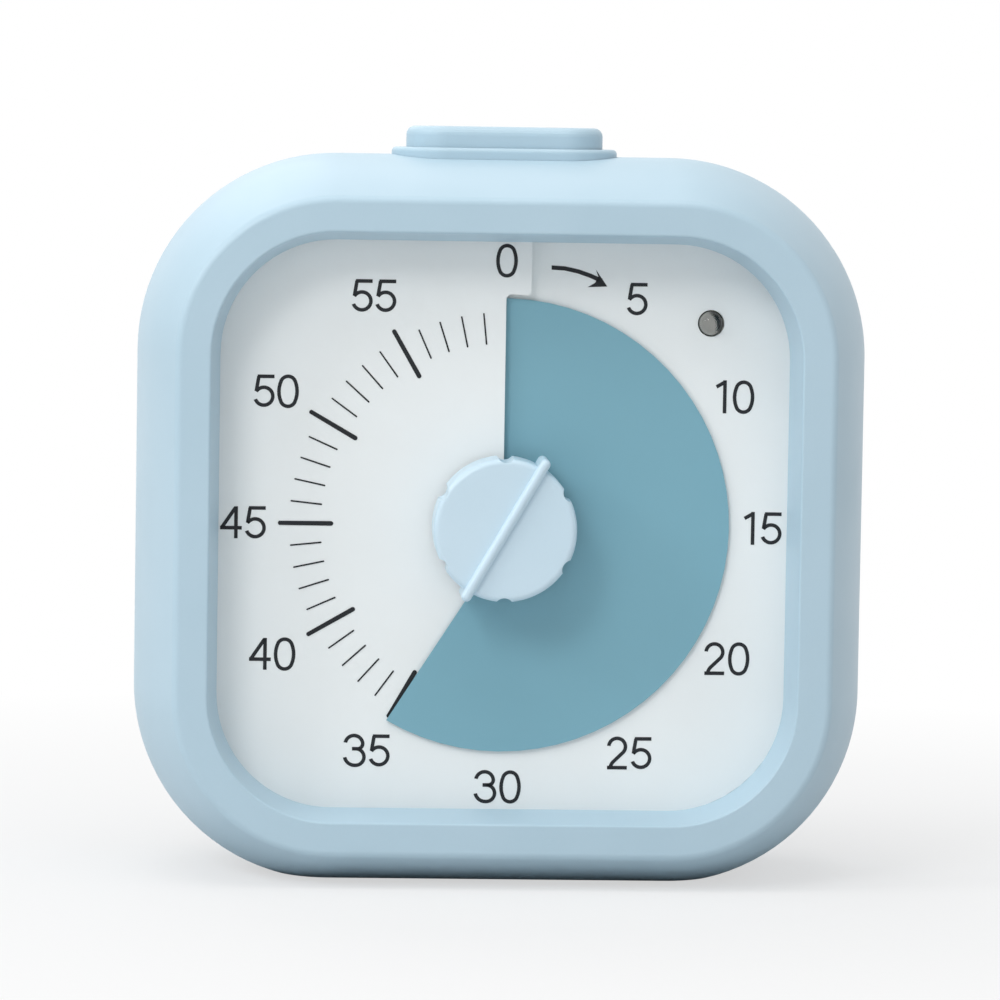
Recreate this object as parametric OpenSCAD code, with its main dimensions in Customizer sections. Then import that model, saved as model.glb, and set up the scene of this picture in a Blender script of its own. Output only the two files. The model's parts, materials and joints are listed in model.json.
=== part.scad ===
// Visual countdown timer: a square desk timer whose spiral film disc shows the
// time that is left. +Z is up, the dial faces -Y, and +X is to the right of
// someone who looks at the dial. Depths are measured from the flat face of the
// bezel towards the back.

/* [Body] */
// Width and height of the body at its widest line
body_w = 86; // [82:0.5:94]
// Depth of the widest line, where the two shells meet
seam_depth = 19.5; // [18.5:0.5:21]
// Distance of the corners' centres from the middle of the body
corner_at = 19.7; // [17:0.1:21]
// Thickness of both shells
wall = 2.2; // [1.8:0.1:2.5]
// How far the front shell's side spreads from the bezel to the widest line
side_spread = 5; // [3:0.5:6]
// Width of the bezel's flat face
bezel_face = 3.9; // [3:0.1:4.6]
// How far the bezel's inner wall draws in towards its lip
mouth_draft = 1; // [0.4:0.1:1.2]
// Depth of the lip at the end of the bezel's inner wall
lip_depth = 6.3; // [4:0.1:6.6]
// Rounding of the bezel's outer edge
bezel_round = 1; // [0.6:0.1:1.6]
// Rounding of the bezel's inner edge
mouth_round = 0.3; // [0.2:0.1:0.8]
// Rounding between the sides and the back
back_round = 8; // [5:0.5:9]
// Height of the slice that is cut off below, so that the body stands
foot_cut = 1.1; // [0.4:0.1:1.4]

/* [Dial and film] */
// Depth of the highest part of the dial
dial_recess = 7.4; // [6.8:0.1:7.8]
// Thickness of the dial's spiral sheet
sheet_t = 0.8; // [0.6:0.1:1]
// Thickness of the film
film_t = 0.25; // [0.2:0.05:0.4]
// Radius of the film
film_r = 26.5; // [22:0.5:26.5]
// Minutes that the film shows at rest
set_minutes = 35; // [20:5:45]
// Sideways shift of the step beside the 0
step_jog = 2.9; // [2:0.1:4]

/* [Knob] */
// Radius of the knob
knob_r = 8.3; // [7:0.1:10]
// How far the knob stands in front of the bezel
knob_proud = 0.3; // [0:0.1:1]
// Width of the pointer rib
rib_w = 1.2; // [0.8:0.01:1.6]
// Height of the pointer rib above the knob
rib_h = 0.8; // [0.6:0.1:1.2]
// How far the rib's pointing end passes the knob's side
rib_reach = 1.1; // [0.8:0.1:2.4]
// Radius of the grip notches
notch_r = 1.1; // [0.8:0.1:1.4]

/* [Button] */
// Width of the collar's rim round the button
collar_rim = 1.7; // [1.3:0.1:2.2]
// Height of the collar above the body's highest line
collar_rise = 0.85; // [0.5:0.05:1.5]
// Length of the button
button_l = 23.2; // [21:0.1:24]
// Width of the button
button_w = 9.2; // [8.1:0.1:9.6]
// Height of the button above the collar
button_rise = 2.5; // [1.7:0.1:2.6]
// How far the button travels
button_travel = 1.5; // [1:0.1:1.6]

/* [Batteries] */
// Radius of a cell
cell_r = 5.25; // [5:0.05:5.3]
// Length of a cell with its contact
cell_l = 44.5; // [42:0.5:45]

/* [Movement] */
// Free depth between the movement's screws and the battery bay
spare_depth = 0.9; // [0.6:0.1:6]
// Radius of the spindle
spindle_r = 1.5; // [1.3:0.1:1.7]
// Thickness of the chassis plate
chassis_t = 1.6; // [1.4:0.1:1.8]
// Wall of the gearbox cover
cover_wall = 1.2; // [1:0.1:1.4]
// Running clearance of shafts in their holes
running = 0.05; // [0.03:0.01:0.08]

/* [Hidden] */
$fn = 64;
crown_fn = 240;

// Clearances: between fixed pieces, between sliding pieces, and past a cut
seat_gap = 0.1;
slide_gap = 0.2;
past = 1;

// Body
body_half = body_w / 2;
bezel_half = body_half - side_spread;
mouth_half = bezel_half - bezel_face;
lip_half = mouth_half - mouth_draft;
lip_step = 0.4;
window_half = lip_half + lip_step;
back_draft = 0.2;

// The side is crowned: its arc leaves the bezel's edge and runs level at the
// widest line
crown_r = (side_spread * side_spread + seam_depth * seam_depth) / (2 * side_spread);
crown_at = [body_half - crown_r, seam_depth];

// Dial and film: the spiral climbs one pitch per turn, which leaves room for
// the sheet, the film and a gap on each side of it
film_gap = 0.2;
pitch = sheet_t + film_t + 2 * film_gap;
film_turn = 358;
film_room = 0.5;
dial_back = dial_recess + 2 * pitch + film_room;
flange_t = 1.2;
tube_depth = dial_back - flange_t;
tube_wall = 1.8;
flange_rim = 1.1;
flange_half = window_half + flange_rim;
well_r = film_r + 0.5;
eye_r = 3.6;
sheet_step = 0.02;
step_round = 0.7;
spiral_steps = 120;
film_steps = 72;
film_cut = 1.1;
set_angle = 6 * set_minutes;

// Lamp
led_r = 1.4;
led_play = 0.15;
led_flange_r = 1.8;
led_flange_t = 1;
led_at = [24, 23.9];
led_tip = dial_recess;

// Chassis and gear train: depths of the faces, and the play between layers
chassis_back = dial_back + chassis_t;
chassis_half = flange_half;
layer_gap = 0.2;
shoulder_front = chassis_back + layer_gap;
shoulder_t = 0.8;
centre_front = shoulder_front + shoulder_t + running;
centre_t = 1.2;
clutch_front = centre_front + centre_t + running;
clutch_rise = 0.5;
clutch_sheet = 0.25;
clutch_collar_front = clutch_front + clutch_rise + clutch_sheet;
clutch_collar_t = 0.8;
wheel_t = 0.6;
layer = 2.2;
layer_room = 0.35;
third_front = clutch_collar_front + clutch_collar_t + layer_room;
second_front = third_front + layer;
first_front = second_front + layer;
pinion_t = 1.6;
pinion_over = 0.5;
cover_inside = first_front + pinion_t;
cover_back = cover_inside + cover_wall;

// Battery bay: it lies behind the movement, and its door is flush with the back
head_t = 1;
bay_wall = 1.3;
bay_play = 0.6;
door_t = 1.6;
bay_front = cover_back + head_t + spare_depth + bay_wall;
cell_depth = bay_front + bay_play + cell_r;
door_seat = cell_depth + cell_r + bay_play / 2;
body_d = door_seat + door_t;

// Place of the face's middle, so that the whole part stands on its origin
front_proud = knob_proud + rib_h;
face_y = -(body_d - front_proud) / 2;
centre_z = body_half - foot_cut;

// Screws that hold dial and chassis in the front shell
dial_screw_r = 0.85;
dial_boss_r = 2.1;
dial_boss_out = 2;
dial_boss_up = 14;
dial_boss_at = [window_half + tube_wall / 2 + dial_boss_out, dial_boss_up];
dial_screw_l = 7;
dial_head_r = 1.7;

// Screws that hold the shells together
case_screw_r = 1.1;
case_boss_r = 2.5;
case_column_r = 3.5;
case_boss_out = 2;
case_screw_at = corner_at + (window_half - corner_at + tube_wall + case_boss_out) / sqrt(2);
case_clamp = 6.5;
case_seat = seam_depth + case_clamp;
case_head_r = 2.1;
case_head_t = 1.6;
case_screw_l = 14;

function case_places() = [for (x = [-1, 1], y = [-1, 1]) [x, y] * case_screw_at];
function dial_screw_places() =
    [for (x = [-1, 1], y = [-1, 1]) [x * dial_boss_at.x, y * dial_boss_at.y]];

// Half width of the front shell's outside at a depth
function side_half(depth) =
    crown_at.x + sqrt(crown_r * crown_r - (seam_depth - depth) * (seam_depth - depth));

// Points of an arc about a centre
function arc(centre, r, from, to, steps = 8) =
    [for (i = [0:steps]) let (a = from + (to - from) * i / steps) centre + r * [cos(a), sin(a)]];

// Direction in the dial's plane at an angle clockwise from 12 o'clock
function clock(a) = [sin(a), cos(a)];

// Puts what is drawn with its Z towards the back behind the bezel's face
module facing() {
    translate([0, face_y, centre_z]) rotate([-90, 0, 0]) children();
}

// An outline in the dial's plane, extruded from one depth to another
module slab(front, back) {
    translate([0, face_y + back, centre_z]) rotate([90, 0, 0])
        linear_extrude(back - front) children();
}

// A turned piece: its outline holds radius and depth, its axis passes `at`
module turned(outline, at = [0, 0]) {
    translate([at.x, face_y, centre_z + at.y]) rotate([-90, 0, 0])
        rotate_extrude() polygon(outline);
}

// A section, drawn as [half width, depth], swept round the rounded square
module ring() {
    facing() for (turn = [0:90:270]) rotate(turn) translate([corner_at, corner_at, 0]) {
        rotate_extrude(angle = 90) translate([-corner_at, 0]) children();
        rotate([90, 0, 0]) linear_extrude(2 * corner_at) translate([-corner_at, 0]) children();
    }
}

module rounded_square(half) {
    square([2 * half, 2 * corner_at], center = true);
    square([2 * corner_at, 2 * half], center = true);
    for (x = [-1, 1], y = [-1, 1]) translate([x, y] * corner_at) circle(half - corner_at);
}

module stadium(length, width) {
    square([length - width, width], center = true);
    for (x = [-1, 1]) translate([x * (length - width) / 2, 0]) circle(width / 2);
}

module dots(places, r) {
    for (p = places) translate(p) circle(r);
}

// Takes away what lies below the surface that the body stands on
module stands() {
    difference() {
        children();
        translate([-body_w, -body_w, -body_w]) cube([2 * body_w, 2 * body_w, body_w]);
    }
}

// An outline in the horizontal plane at the widest line, extruded between heights
module upright(low, high) {
    translate([0, face_y + seam_depth, low]) linear_extrude(high - low) children();
}

// ---- Shells ----

back_half = body_half - back_draft - back_round;
back_inside = body_d - wall;
back_bend = body_d - back_round;
tongue_l = 2;
tongue_t = 1;
tongue_root = 3;
tongue_half = side_half(seam_depth - tongue_l) - wall - seat_gap;
collar_l = button_l + 2 * collar_rim;
collar_w = button_w + 2 * collar_rim;
collar_cut = 8;

// Hole through the top of both shells for the collar
module collar_hole() {
    upright(centre_z + body_half - collar_cut, centre_z + body_half + past)
        stadium(collar_l + 2 * seat_gap, collar_w + 2 * seat_gap);
}

// Section of the front shell: the bezel's face with two rounded edges, the
// crowned side, and the tube that runs back from the lip and holds the dial
module front_section() {
    draft = atan(mouth_draft / lip_depth);
    mouth_at = [mouth_half + mouth_round * (1 - sin(draft)) / cos(draft), mouth_round];
    mouth_touch = mouth_at - mouth_round * [cos(draft), sin(draft)];
    inner_r = crown_r - bezel_round;
    edge_rise = seam_depth - bezel_round;
    edge_at = [crown_at.x + sqrt(inner_r * inner_r - edge_rise * edge_rise), bezel_round];
    edge_touch = crown_at + (edge_at - crown_at) * crown_r / inner_r;
    tube_half = window_half + tube_wall;
    middle = window_half + tube_wall / 2;
    difference() {
        union() {
            intersection() {
                translate(crown_at) circle(crown_r, $fn = crown_fn);
                translate([middle, edge_touch.y])
                    square([body_half, seam_depth - edge_touch.y]);
            }
            translate([window_half, lip_depth]) square([tube_wall, tube_depth - lip_depth]);
            polygon([
                mouth_touch, [mouth_at.x, 0], [edge_at.x, 0], edge_touch,
                edge_touch + [-wall, wall] / 2, [middle, edge_touch.y + wall / 2],
                [middle, lip_depth], [lip_half, lip_depth]
            ]);
            translate(mouth_at) circle(mouth_round);
            translate(edge_at) circle(bezel_round);
        }
        intersection() {
            translate(crown_at) circle(crown_r - wall, $fn = crown_fn);
            translate([tube_half, wall]) square([body_half, seam_depth]);
        }
        translate([0, tube_depth]) square([tube_half + seat_gap, seam_depth]);
    }
}

module front_housing() {
    case_boss_front = tube_depth - case_boss_r / 2;
    pilot_depth = 6;
    color("lightblue") stands() difference() {
        union() {
            ring() front_section();
            slab(wall - seat_gap, tube_depth) dots(dial_screw_places(), dial_boss_r);
            slab(case_boss_front, seam_depth) dots(case_places(), case_boss_r);
        }
        slab(tube_depth - pilot_depth, tube_depth + past) dots(dial_screw_places(), dial_screw_r);
        slab(case_boss_front + past, seam_depth + past) dots(case_places(), case_screw_r);
        collar_hole();
    }
}

// Hollow of the battery bay, and the door that closes it
spring_room = 5.7;
contact_t = 0.4;
bay_half = [(cell_l + spring_room) / 2 + contact_t, 2 * cell_r + 1.5 * bay_play];
bay_z = -12.6;
bay_ledge = 1.4;
door_half = [bay_half.x + bay_ledge, bay_half.y + bay_ledge];
hook_at = 15;
hook_w = 6;
hook_t = 1;
hook_l = 1.2;
slot_h = 3.6;
hinge_r = door_t / 2;

module box_outline(half) {
    square(2 * half, center = true);
}

// An outline placed on the middle of the battery bay
module on_bay() {
    translate([0, bay_z]) children();
}

// Back of the sound switch and of the buzzer
switch_at = [-17, 15];
switch_travel = 2.5;
thumb = [4.5, 4.4];
thumb_t = 1;
recess = [13, 6];
recess_depth = 1.2;
stem = [2, 2];
slider_block = [3.4, 4.2];
slider_block_t = 1.8;
can = [14, 7];
can_t = 4;
can_wall = 0.6;
buzzer_at = [17, 15];
buzzer_r = 7;
buzzer_t = 3.5;
buzzer_ring_t = 1;
grille_hole_r = 0.8;
grille_pitch = 3.2;

function grille_places() = concat([[0, 0]], [for (i = [0:5]) clock(60 * i) * grille_pitch]);

// The whole form of the rear shell, filled
module rear_form() {
    ring() {
        polygon([
            [corner_at, seam_depth], [body_half, seam_depth],
            [back_half + back_round, back_bend], [back_half, back_bend],
            [back_half, body_d], [corner_at, body_d]
        ]);
        translate([back_half, back_bend]) circle(back_round);
    }
    slab(seam_depth, body_d) box_outline([1, 1] * (corner_at + past));
}

module rear_hollow() {
    inner_round = back_round - wall;
    ring() {
        polygon([
            [corner_at, seam_depth - past],
            [tongue_half - tongue_t, seam_depth - past],
            [tongue_half - tongue_t, seam_depth + tongue_root],
            [body_half - back_draft - wall, seam_depth + tongue_root + tongue_t],
            [back_half + inner_round, back_bend], [back_half, back_bend],
            [back_half, back_inside], [corner_at, back_inside]
        ]);
        translate([back_half, back_bend]) circle(inner_round);
    }
    slab(seam_depth - past, back_inside) box_outline([1, 1] * (corner_at + past));
}

module tongue() {
    ring() polygon([
        [tongue_half - tongue_t, seam_depth - tongue_l],
        [tongue_half, seam_depth - tongue_l],
        [body_half - wall - seat_gap, seam_depth],
        [body_half - wall - seat_gap, seam_depth + past],
        [tongue_half - tongue_t, seam_depth + past]
    ]);
}

// Hollow of the battery bay, its mouth, and the slots for the door's hooks
module bay_space() {
    slab(bay_front, body_d + past) on_bay() box_outline(bay_half);
    slab(door_seat, body_d + past) on_bay()
        box_outline(door_half + [1, 1] * slide_gap);
    slab(door_seat - slot_h, door_seat + past / 2) on_bay()
        for (x = [-1, 1]) translate([x * hook_at, -door_half.y])
            square([hook_w + 2 * slide_gap, 2 * slot_h], center = true);
}

module rear_cover() {
    color("lightblue") stands() difference() {
        union() {
            difference() {
                rear_form();
                rear_hollow();
            }
            tongue();
            intersection() {
                slab(seam_depth + seat_gap, body_d) dots(case_places(), case_column_r);
                rear_form();
            }
            slab(bay_front - bay_wall, body_d - past / 2) on_bay()
                box_outline(door_half + [1, 1] * (bay_wall + slide_gap));
            slab(back_inside - buzzer_t, back_inside + past / 2) translate(buzzer_at)
                circle(buzzer_r + seat_gap + buzzer_ring_t);
            collar_screw_bosses();
        }
        bay_space();
        slab(back_inside - buzzer_t - past, back_inside) translate(buzzer_at)
            circle(buzzer_r + seat_gap);
        slab(back_inside - past, body_d + past) translate(buzzer_at)
            dots(grille_places(), grille_hole_r);
        slab(body_d - recess_depth, body_d + past) translate(switch_at) box_outline(recess / 2);
        slab(back_inside - past, body_d + past) translate(switch_at)
            box_outline(stem / 2 + [switch_travel + slide_gap, slide_gap]);
        slab(seam_depth - tongue_l - past, seam_depth + seat_gap)
            dots(case_places(), case_boss_r + seat_gap);
        slab(seam_depth, body_d) dots(case_places(), case_screw_r + seat_gap);
        slab(case_seat, body_d + past) dots(case_places(), case_head_r + slide_gap);
        collar_screw_holes();
        collar_hole();
    }
}

// ---- Dial and film ----

// Depth of the dial's front face at an angle clockwise from 12 o'clock
function dial_depth(a) = dial_recess + pitch * (1 - a / 360);

// Distance from the middle to a rounded square's edge in a direction
function reach(half, a) =
    let (
        d = [abs(sin(a)), abs(cos(a))],
        flat = half / max(d),
        r = half - corner_at,
        b = corner_at * (d.x + d.y)
    )
    flat * min(d) <= corner_at ? flat : b + sqrt(b * b + r * r - 2 * corner_at * corner_at);

function on_face(r, a, depth) = [r * sin(a), face_y + depth, centre_z + r * cos(a)];

// The four corners of a ribbon's section at each step, joined into a closed skin.
// Each section holds front inner, front outer, back outer and back inner.
module ribbon(sections) {
    n = len(sections);
    polyhedron(
        points = [for (s = sections) each s],
        faces = concat(
            [[3, 2, 1, 0]],
            [for (i = [0:n - 2], k = [0:3]) let (a = 4 * i, b = a + 4, l = (k + 1) % 4)
                each [[a + k, a + l, b + l], [a + k, b + l, b + k]]],
            [[for (k = [0:3]) 4 * (n - 1) + k]]
        )
    );
}

// The thin spiral sheet that the film turns over and under
module spiral_sheet() {
    ribbon([for (i = [0:spiral_steps])
        let (a = 360 * i / spiral_steps, d = dial_depth(a) + sheet_step)
        [
            on_face(eye_r, a, d),
            on_face(well_r + sheet_t / 2, a, d),
            on_face(well_r + sheet_t / 2, a, d + sheet_t),
            on_face(eye_r, a, d + sheet_t)
        ]]);
}

// The rest of the dial: the spiral goes on to the bezel, with a flat back. Its
// step stands beside the 0, and is one wall between the first and last corners.
module dial_surround() {
    half = window_half - seat_gap;
    back = tube_depth + flange_t / 2;
    n = spiral_steps;
    start = [asin(step_jog / well_r), atan(step_jog / half)];
    front = [for (i = [0:n], j = [0, 1]) let (a = start[j] + 360 * i / n)
        on_face(j == 0 ? well_r : reach(half, a), a, dial_depth(a))];
    rear = [for (i = [0:n - 1], j = [0, 1]) let (a = start[j] + 360 * i / n)
        on_face(j == 0 ? well_r : reach(half, a), a, back)];
    first_rear = len(front);
    function f(i, j) = 2 * i + j;
    function r(i, j) = first_rear + 2 * (i % n) + j;
    polyhedron(
        points = concat(front, rear),
        faces = concat(
            [for (i = [0:n - 1]) each [
                [f(i, 0), f(i, 1), f(i + 1, 1)], [f(i, 0), f(i + 1, 1), f(i + 1, 0)],
                [r(i, 1), r(i, 0), r(i + 1, 0)], [r(i, 1), r(i + 1, 0), r(i + 1, 1)]
            ]],
            [for (i = [0:n - 2]) each [
                [f(i, 0), f(i + 1, 0), r(i + 1, 0)], [f(i, 0), r(i + 1, 0), r(i, 0)],
                [f(i + 1, 1), f(i, 1), r(i, 1)], [f(i + 1, 1), r(i, 1), r(i + 1, 1)]
            ]],
            [
                [f(n - 1, 0), f(n, 0), f(0, 0)], [f(n - 1, 0), f(0, 0), r(0, 0)],
                [f(n - 1, 0), r(0, 0), r(n - 1, 0)],
                [f(n, 1), f(n - 1, 1), f(0, 1)], [f(0, 1), f(n - 1, 1), r(0, 1)],
                [r(0, 1), f(n - 1, 1), r(n - 1, 1)],
                [f(0, 0), f(n, 0), f(n, 1)], [f(0, 0), f(n, 1), f(0, 1)]
            ]
        )
    );
}

// What lies between a square corner at the origin and the round inside it
module corner_fill(r) {
    difference() {
        translate([-r / 2, -r / 2]) square(1.5 * r);
        translate([r, r]) circle(r);
    }
}

// Round inner corner of the step, which hangs over the film's front corner
module step_inner_corner() {
    slab(dial_recess + 2 * sheet_step, dial_recess + sheet_t) translate([0, well_r])
        mirror([0, 1]) corner_fill(step_round);
}

// What the round outer corner of the step leaves open
module step_outer_corner() {
    slab(0, dial_depth(asin(step_jog / well_r)) - sheet_step)
        translate([step_jog, sqrt(well_r * well_r - step_jog * step_jog)])
            mirror([1, 0]) difference() {
                corner_fill(step_round);
                translate([-step_round, -step_round]) square([step_round, 3 * step_round]);
            }
}

module ears() {
    for (p = dial_screw_places()) translate([sign(p.x) * (flange_half + abs(p.x)) / 2, p.y])
        square([abs(p.x) - flange_half + dial_boss_r + dial_head_r, 2 * dial_boss_r],
            center = true);
}

module dial_plate() {
    color("white") {
        difference() {
            union() {
                difference() {
                    dial_surround();
                    step_outer_corner();
                }
                step_inner_corner();
                slab(tube_depth, dial_back) difference() {
                    union() {
                        rounded_square(flange_half);
                        ears();
                    }
                    circle(well_r + sheet_t);
                }
            }
            slab(0, body_d) translate(led_at) circle(led_r + led_play);
            slab(0, body_d) dots(dial_screw_places(), dial_screw_r + seat_gap);
        }
        spiral_sheet();
    }
}

// The film is one turn of the same spiral, and its front edge is a straight cut
module time_film() {
    r_in = hub_r - seat_gap / 2;
    cut = asin(film_cut / r_in);
    color("cadetblue") ribbon([for (i = [0:film_steps]) let (
            t = i / film_steps,
            a_out = set_angle - film_turn * (1 - t),
            a_in = a_out - cut * t,
            d_in = dial_depth(a_in) - film_gap - film_t,
            d_out = dial_depth(a_out) - film_gap - film_t
        )
        [
            on_face(r_in, a_in, d_in),
            on_face(film_r, a_out, d_out),
            on_face(film_r, a_out, d_out + film_t),
            on_face(r_in, a_in, d_in + film_t)
        ]]);
}

// ---- Knob, hub and spindle ----

hub_r = 3.1;
hub_lead = 0.15;
hub_tail = 0.9;
hub_front = dial_recess + hub_lead;
hub_back = dial_recess + pitch + hub_tail;
flat_at = 1.1;
knob_front = -knob_proud;
knob_lift = 0.8;
knob_back = dial_recess - knob_lift;
knob_wall = 1.4;
knob_top_t = 1.7;
knob_round = 0.7;
knob_boss_r = 2.7;
notch_depth = 0.5;
press_r = 1.25;
rib_tail = 1.2;
rib_turn = -set_angle;

module spindle_section(r) {
    intersection() {
        circle(r);
        translate([-2 * r, -2 * r]) square([4 * r, 2 * r + flat_at + (r - spindle_r)]);
    }
}

module film_hub() {
    color("white") slab(hub_front, hub_back) difference() {
        circle(hub_r);
        rotate(rib_turn) spindle_section(spindle_r + running);
    }
}

module knob_form() {
    turned(concat(
        [[0, knob_back], [knob_r, knob_back]],
        arc([knob_r - knob_round, knob_front + knob_round], knob_round, 0, -90, 6),
        [[0, knob_front]]
    ));
}

// The pointer: a half round bar across the knob, with a fin down each side
module pointer() {
    r = rib_w / 2;
    ends = [-(knob_r + rib_tail - r), knob_r + rib_reach - r];
    top = knob_front - rib_h + r;
    facing() rotate(180 - rib_turn) {
        for (y = ends) {
            translate([0, y, top]) sphere(r);
            translate([0, y, top]) cylinder(r = r, h = knob_back - top);
        }
        translate([0, ends[0], top]) rotate([-90, 0, 0]) cylinder(r = r, h = ends[1] - ends[0]);
        translate([-r, ends[0], top]) cube([rib_w, ends[1] - ends[0], knob_back - top]);
    }
}

module knob() {
    color("powderblue") difference() {
        union() {
            difference() {
                knob_form();
                slab(knob_front - past, knob_back + past) rotate(rib_turn)
                    for (a = [30:60:330]) translate(clock(a) * (knob_r + notch_r - notch_depth))
                        circle(notch_r);
            }
            pointer();
        }
        slab(knob_front + knob_top_t, knob_back + past) difference() {
            circle(knob_r - knob_wall);
            circle(knob_boss_r);
        }
        slab(knob_front + knob_top_t, knob_back + past) circle(press_r);
    }
}

// ---- Movement ----

shoulder_r = 3.2;
clutch_r = 4.5;
clutch_collar_r = 2.4;
pivot_r = 0.35;
pivot_l = 0.9;
arbor_r = 0.5;
bearing_r = pivot_r + running;

// Gear modules and tooth counts, from the slow end to the fast end
pinion_teeth = 8;
centre_teeth = 32;
third_teeth = 60;
second_teeth = 64;
first_teeth = 60;
centre_module = 0.7;
third_module = 0.3;
second_module = 0.25;
first_module = 0.2;

// Directions from each arbor to the next, counter-clockwise from +X
third_turn = 215;
second_turn = 285;
first_turn = 0;
rotor_turn = 20;

function centre_distance(m, teeth) = m * (teeth + pinion_teeth) / 2;
function step(from, m, teeth, a) = from + centre_distance(m, teeth) * [cos(a), sin(a)];
third_at = step([0, 0], centre_module, centre_teeth, third_turn);
second_at = step(third_at, third_module, third_teeth, second_turn);
first_at = step(second_at, second_module, second_teeth, first_turn);
rotor_at = step(first_at, first_module, first_teeth, rotor_turn);

// Straight-sided teeth; one tooth is centred on the direction `phase`
tooth_add = 0.85;
tooth_ded = 1.15;
tooth_root = 0.28;
tooth_tip = 0.12;

module gear(teeth, m, phase) {
    tip = m * (teeth / 2 + tooth_add);
    root = m * (teeth / 2 - tooth_ded);
    polygon([for (i = [0:teeth - 1], k = [[-tooth_root, root], [-tooth_tip, tip],
                [tooth_tip, tip], [tooth_root, root]])
        let (a = phase + (i + k[0]) * 360 / teeth) k[1] * [cos(a), sin(a)]]);
}

// An arbor with a wheel, whose gap at `driver` takes the pinion before it, and a
// pinion, whose tooth at `driven` drives the wheel after it
module compound(at, teeth, m, driver, front, pinion_m, driven, pinion_front) {
    color("ivory") translate([at.x, 0, at.y]) {
        slab(front, front + wheel_t) gear(teeth, m, driver + 180 / teeth);
        slab(pinion_front, pinion_front + pinion_t) gear(pinion_teeth, pinion_m, driven);
        arbor();
    }
}

module arbor() {
    slab(chassis_back + layer_gap, cover_inside - layer_gap) circle(arbor_r);
    slab(chassis_back - pivot_l, cover_inside + pivot_l) circle(pivot_r);
}

module spindle() {
    tip = knob_front + knob_top_t;
    color("silver") difference() {
        union() {
            slab(tip, cover_inside + pivot_l) circle(press_r);
            slab(knob_back, cover_inside - running) circle(spindle_r);
            slab(shoulder_front, shoulder_front + shoulder_t) circle(shoulder_r);
        }
        slab(knob_back - past, dial_back) rotate(rib_turn)
            translate([-spindle_r, flat_at]) square(2 * spindle_r);
    }
}

module centre_wheel() {
    spokes = 4;
    spoke_w = 2;
    rim_r = centre_module * (centre_teeth / 2 - tooth_ded) - spoke_w;
    color("ivory") difference() {
        slab(centre_front, centre_front + centre_t)
            gear(centre_teeth, centre_module, third_turn + 180 / centre_teeth);
        slab(centre_front - past, centre_front + centre_t + past) {
            circle(spindle_r + running);
            difference() {
                circle(rim_r);
                circle(clutch_r + spoke_w / 4);
                for (i = [0:spokes - 1]) rotate((i + 1 / 2) * 360 / spokes)
                    translate([0, -spoke_w / 2]) square([rim_r + past, spoke_w]);
            }
        }
    }
}

// Dished washer: its rim presses on the wheel, and the collar holds its middle
module clutch_spring() {
    color("goldenrod") turned([
        [spindle_r, clutch_front + clutch_rise], [clutch_r, clutch_front],
        [clutch_r, clutch_front + clutch_sheet],
        [spindle_r, clutch_front + clutch_rise + clutch_sheet]
    ]);
}

module clutch_collar() {
    color("silver") slab(clutch_collar_front, clutch_collar_front + clutch_collar_t) difference() {
        circle(clutch_collar_r);
        circle(spindle_r);
    }
}

module third_wheel() {
    compound(third_at, third_teeth, third_module, second_turn, third_front,
        centre_module, third_turn + 180, centre_front - pinion_over / 2);
}

module second_wheel() {
    compound(second_at, second_teeth, second_module, first_turn, second_front,
        third_module, second_turn + 180, third_front - pinion_over);
}

module first_wheel() {
    compound(first_at, first_teeth, first_module, rotor_turn, first_front,
        second_module, first_turn + 180, second_front - pinion_over);
}

// Motor: a magnet on an arbor, the plate that carries its field, and the coil
magnet_r = 3;
magnet_t = 2;
magnet_front = chassis_back + 1.6 * magnet_t;
stator_t = 1;
stator_r = 5.2;
stator_gap = 0.5;
core_w = 2.4;
coil_out = 14.5;
coil_at = [rotor_at.x + coil_out, rotor_at.y];
coil_r = 3.2;
coil_half = 4.6;
coil_flange_r = 3.6;
coil_flange_t = 0.8;
arm_half = 7;
arm_h = 2.4;
stator_front = magnet_front + (magnet_t - stator_t) / 2;
stator_post_r = 1;
stator_post_at = arm_half - arm_h / 2;
stator_places = [rotor_at - [0, stator_post_at], coil_at - [0, stator_post_at],
    coil_at + [0, stator_post_at]];

module rotor() {
    color("dimgray") translate([rotor_at.x, 0, rotor_at.y]) {
        slab(magnet_front, magnet_front + magnet_t) circle(magnet_r);
        slab(first_front - pinion_over, first_front - pinion_over + pinion_t)
            gear(pinion_teeth, first_module, rotor_turn + 180);
        arbor();
    }
}

module stator() {
    color("gray") slab(stator_front, stator_front + stator_t) difference() {
        union() {
            translate(rotor_at) circle(stator_r);
            for (y = [-1, 1]) translate([(rotor_at.x + coil_at.x) / 2,
                    rotor_at.y + y * stator_post_at])
                square([coil_at.x - rotor_at.x + core_w, arm_h], center = true);
            translate(rotor_at) square([arm_h, 2 * arm_half], center = true);
            translate(coil_at) square([core_w, 2 * arm_half], center = true);
        }
        translate(rotor_at) circle(magnet_r + stator_gap);
        for (y = [-1, 1]) translate(rotor_at + [0, y * (magnet_r + stator_gap)])
            circle(stator_gap);
    }
}

module coil() {
    bore = [core_w + slide_gap, stator_t + slide_gap];
    middle = face_y + stator_front + stator_t / 2;
    color("peru") translate([coil_at.x, middle, centre_z + coil_at.y]) difference() {
        union() {
            cylinder(r = coil_r, h = 2 * coil_half, center = true);
            for (z = [-1, 1]) translate([0, 0, z * (coil_half - coil_flange_t / 2)])
                cylinder(r = coil_flange_r, h = coil_flange_t, center = true);
        }
        cube([bore.x, bore.y, 3 * coil_half], center = true);
    }
}

// Gearbox: its outline holds every wheel, with a screw post in each corner
box_low = [-22.6, -28];
box_high = [26.4, 13.6];
box_round = 3;
post_r = 2;
post_inset = 3;
gearbox_screw_r = 0.85;

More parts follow.
